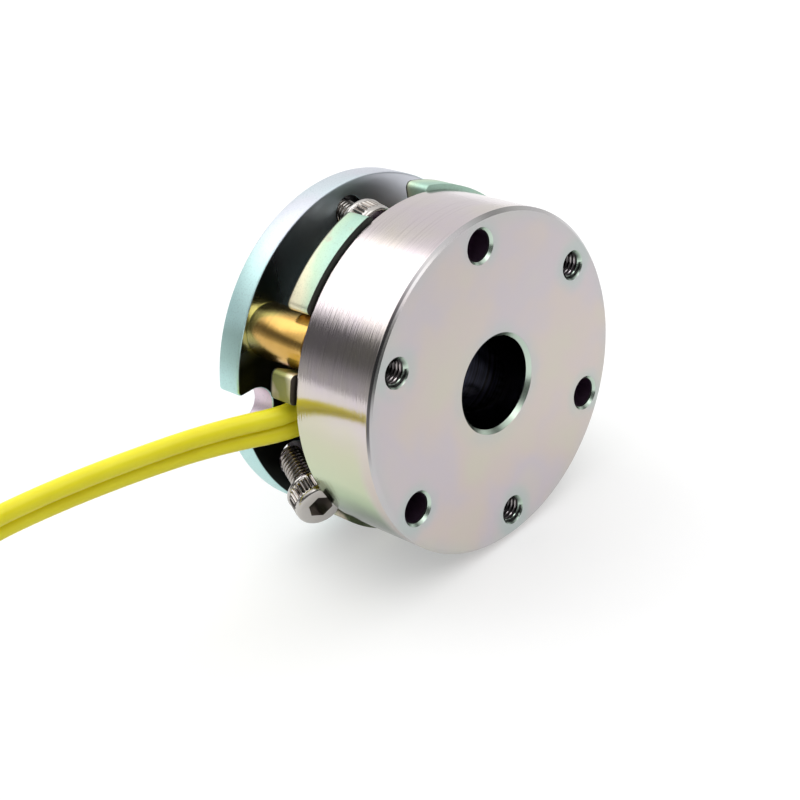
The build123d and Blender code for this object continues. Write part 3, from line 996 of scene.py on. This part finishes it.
# Torque springs in their pockets
spring_count = 6
spring_turns = 6
steps_per_turn = 16
end_steps = 14
spring_stand = 7.2375
spring_low = collar_top + 0.25
spring_rise = 4.55
coil_radius = 0.96
wire_radius = 0.17
steps = steps_per_turn * spring_turns
springs = []
for index in range(spring_count):
    angle = full * index / spring_count
    curve = bpy.data.curves.new("spring", "CURVE")
    curve.dimensions = "3D"
    spline = curve.splines.new("POLY")
    spline.points.add(steps)
    for step, point in enumerate(spline.points):
        turn = full * step / steps_per_turn
        level = spring_low + share(step, end_steps, steps - end_steps) * spring_rise
        x = spring_stand * math.cos(angle) + coil_radius * math.cos(turn)
        y = spring_stand * math.sin(angle) + coil_radius * math.sin(turn)
        point.co = (x * mm, y * mm, level * mm, 1)
    curve.bevel_depth = wire_radius * mm
    curve.bevel_resolution = 2
    curve.use_fill_caps = True
    piece = bpy.data.objects.new("spring", curve)
    bpy.context.collection.objects.link(piece)
    chosen(piece)
    bpy.ops.object.convert(target="MESH")
    springs.append(bpy.context.object)
spring_set = off_bench(joined("springs", springs))
finished(spring_set, "brake_body", "torque_springs", screw_steel, 60)

# Inner pieces keep their own shape and get their finish
own_shape = {
    "coil_bobbin": bobbin_plastic,
    "coil_winding": winding_wire,
    "potting_ring": potting_resin,
    "disc_carrier": carrier_steel,
    "lining_rear": lining,
    "lining_front": lining,
    "hub": carrier_steel,
    "hub_set_screw": screw_steel,
}
for name, material in own_shape.items():
    nodes[name].data.materials.clear()
    nodes[name].data.materials.append(material)

# Pale floor that shows white and keeps the brake's shadow
nothing_selected()
bpy.ops.mesh.primitive_plane_add(size=6, location=(0, 0, -19.51 * mm))
floor = bpy.context.object
floor.name = "floor"
ground = new_finish("floor_white")
ground.shader(Base_Color=(0.60, 0.60, 0.60), Roughness=0.9)
path = ground.node("ShaderNodeLightPath", {}, {}, "Is Camera Ray").socket.node
seen = (Wire(ground, path.outputs["Is Camera Ray"]) + Wire(ground, path.outputs["Is Glossy Ray"])).clipped()
ground.shader(Emission_Color=(1, 1, 1), Emission_Strength=seen * 0.42)
floor.data.materials.append(ground.owner)

# Soft studio light from the whole room: one broad bright panel high up behind the brake and
# one in front of it, a darker stretch of wall low down behind and one in front, and plain
# pale light elsewhere. Angles are in degrees.
world = bpy.data.worlds.new("studio")
bpy.context.scene.world = world
room = Finish(world, "Background")
direction = room.node("ShaderNodeTexCoord", {}, {}, "Generated")
x, y, z = room.axes(direction)
azimuth = x.maths("ARCTAN2", y, x) * (180 / math.pi)
height = x.maths("ARCSINE", z) * (180 / math.pi)
panel = azimuth.ramp(66, 84) * (1 - azimuth.ramp(126, 136))
panel = panel * height.ramp(30.5, 34.5) * (1 - height.ramp(70, 84))
overhead = height.ramp(40, 48)
rear_wall = azimuth.ramp(88, 108) * (1 - height.ramp(27, 31)) * (0.55 + 0.45 * height.ramp(2, 17))
front_wall = (1 - azimuth.ramp(-28, -6)) * (1 - height.ramp(34, 39)) * (0.75 + 0.25 * height.ramp(0, 10))
front_panel = azimuth.ramp(-140, -130) * (1 - azimuth.ramp(-80, -66))
front_panel = front_panel * height.ramp(38, 42) * (1 - height.ramp(68, 80))
level = 0.92 + overhead * 0.28 + panel * 1.25 + front_panel * 1.3 - rear_wall * 0.8 - front_wall * 0.8
path = room.node("ShaderNodeLightPath", {}, {}, "Is Camera Ray")
room.feed(room.end.inputs["Strength"], level * (1 - path) + path * 1.0)
room.feed(room.end.inputs["Color"], (1, 1, 1))

bpy.context.scene.view_settings.view_transform = "Standard"
